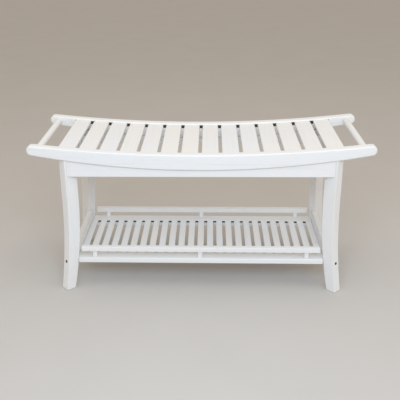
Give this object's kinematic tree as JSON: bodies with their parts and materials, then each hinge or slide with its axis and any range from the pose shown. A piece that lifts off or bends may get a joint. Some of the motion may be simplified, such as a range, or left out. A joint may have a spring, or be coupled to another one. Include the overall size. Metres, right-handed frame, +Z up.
{
  "type": "slatted spa bench",
  "caption": "White painted wooden bench with a dished slatted seat, round end handles, flared diagonal legs and a low slatted shelf with a small fence.",
  "frame": {"origin": "middle of the bench on the floor, between the four feet", "axes": "+X along the seat to the right as seen from the front, +Y from front to back, +Z up"},
  "size_m": [1.01, 0.3868, 0.4695],
  "materials": {
    "white_paint": "satin white paint over hardwood",
    "zinc_steel": "zinc plated",
    "beech": "bare turned wood"
  },
  "bodies": {
    "root": {"apron_back": "white_paint", "apron_front": "white_paint", "apron_left": "white_paint", "apron_right": "white_paint", "apron_screws": "zinc_steel", "corner_block_back_left": "white_paint", "corner_block_back_right": "white_paint", "corner_block_front_left": "white_paint", "corner_block_front_right": "white_paint", "gallery_post_back_1": "white_paint", "gallery_post_back_2": "white_paint", "gallery_post_back_3": "white_paint", "gallery_post_front_1": "white_paint", "gallery_post_front_2": "white_paint", "gallery_post_front_3": "white_paint", "gallery_rail_back": "white_paint", "gallery_rail_front": "white_paint", "gallery_screws": "zinc_steel", "handle_bar_left": "white_paint", "handle_bar_right": "white_paint", "leg_back_left": "white_paint", "leg_back_right": "white_paint", "leg_front_left": "white_paint", "leg_front_right": "white_paint", "leg_hanger_bolts": "zinc_steel", "leg_hanger_nuts": "zinc_steel", "leg_hanger_washers": "zinc_steel", "seat_end_slat_pins": "beech", "seat_rail_back": "white_paint", "seat_rail_front": "white_paint", "seat_slat_01": "white_paint", "seat_slat_02": "white_paint", "seat_slat_03": "white_paint", "seat_slat_04": "white_paint", "seat_slat_05": "white_paint", "seat_slat_06": "white_paint", "seat_slat_07": "white_paint", "seat_slat_08": "white_paint", "seat_slat_09": "white_paint", "seat_slat_10": "white_paint", "seat_slat_11": "white_paint", "seat_slat_12": "white_paint", "seat_slat_13": "white_paint", "seat_slat_14": "white_paint", "shelf_barrel_nuts": "zinc_steel", "shelf_bolts": "zinc_steel", "shelf_end_board_left": "white_paint", "shelf_end_board_right": "white_paint", "shelf_ledger_back": "white_paint", "shelf_ledger_front": "white_paint", "shelf_slat_brads": "zinc_steel", "shelf_slats": "white_paint", "shelf_stretcher_back": "white_paint", "shelf_stretcher_front": "white_paint"}
  },
  "joints": []
}
